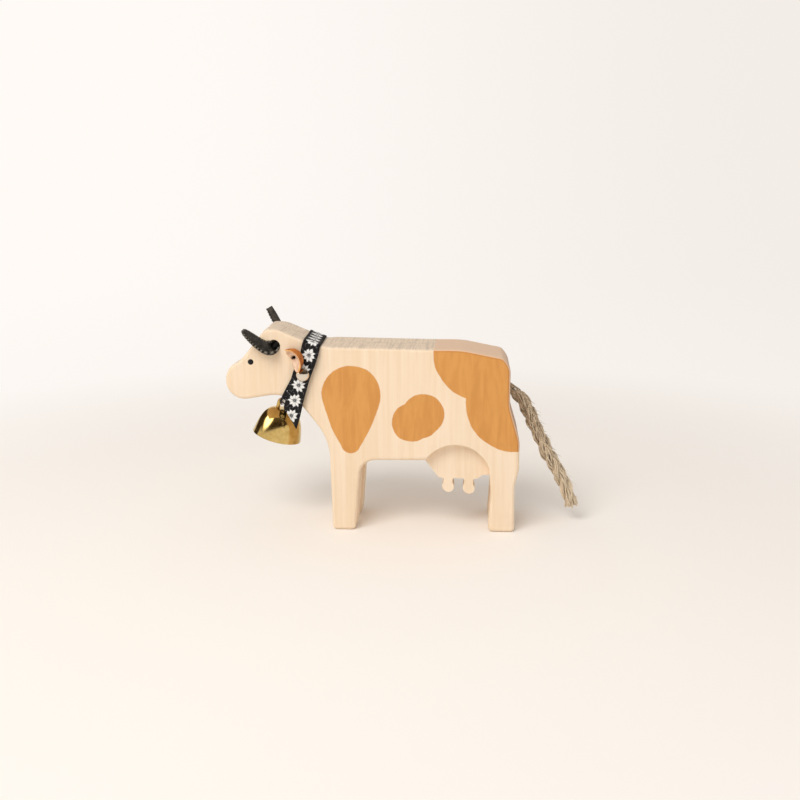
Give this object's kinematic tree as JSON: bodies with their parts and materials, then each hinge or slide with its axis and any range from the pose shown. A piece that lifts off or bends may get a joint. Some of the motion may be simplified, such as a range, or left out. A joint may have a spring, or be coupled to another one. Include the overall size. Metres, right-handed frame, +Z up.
{
  "type": "cow figurine",
  "caption": "Sawn wooden cow figurine with painted patches, leather horns and ears, a rope tail, and a ribbon collar whose brass bell swings and has a loose clapper.",
  "frame": {"origin": "on the floor under the middle of the body, midway between nose and rump", "axes": "+Z up, +X from nose to tail, pictured side towards -Y"},
  "size_m": [0.1496, 0.0436, 0.0924],
  "materials": {
    "wood": "bare sanded wood with painted patches",
    "black_leather": "dull black strip",
    "tan_leather": "smooth tan outside, pale flesh side inside",
    "hemp_rope": "laid natural fibre",
    "ribbon": "woven black with white star flowers",
    "nickel": "polished",
    "brass": "polished"
  },
  "bodies": {
    "cow": {"wooden_body": "wood", "horn_strip": "black_leather", "ear_left": "tan_leather", "ear_right": "tan_leather", "tail_rope": "hemp_rope", "collar_ribbon": "ribbon", "rivet_cap": "nickel", "rivet_post": "nickel"},
    "bell": {"bell_cup": "brass", "bell_link": "brass"},
    "clapper": {"clapper_wire": "brass", "clapper_ball": "brass"}
  },
  "joints": [
    {"name": "bell_swing", "type": "hinge", "parent": "cow", "child": "bell", "pos_m": [-0.03902, 0, 0.05344], "axis": [0.9563, 0, -0.2924], "range_deg": [-25, 25]},
    {"name": "clapper_swing", "type": "hinge", "parent": "bell", "child": "clapper", "pos_m": [-0.0411, 0, 0.04662], "axis": [0.9563, 0, -0.2924], "range_deg": [-50, 50]}
  ]
}
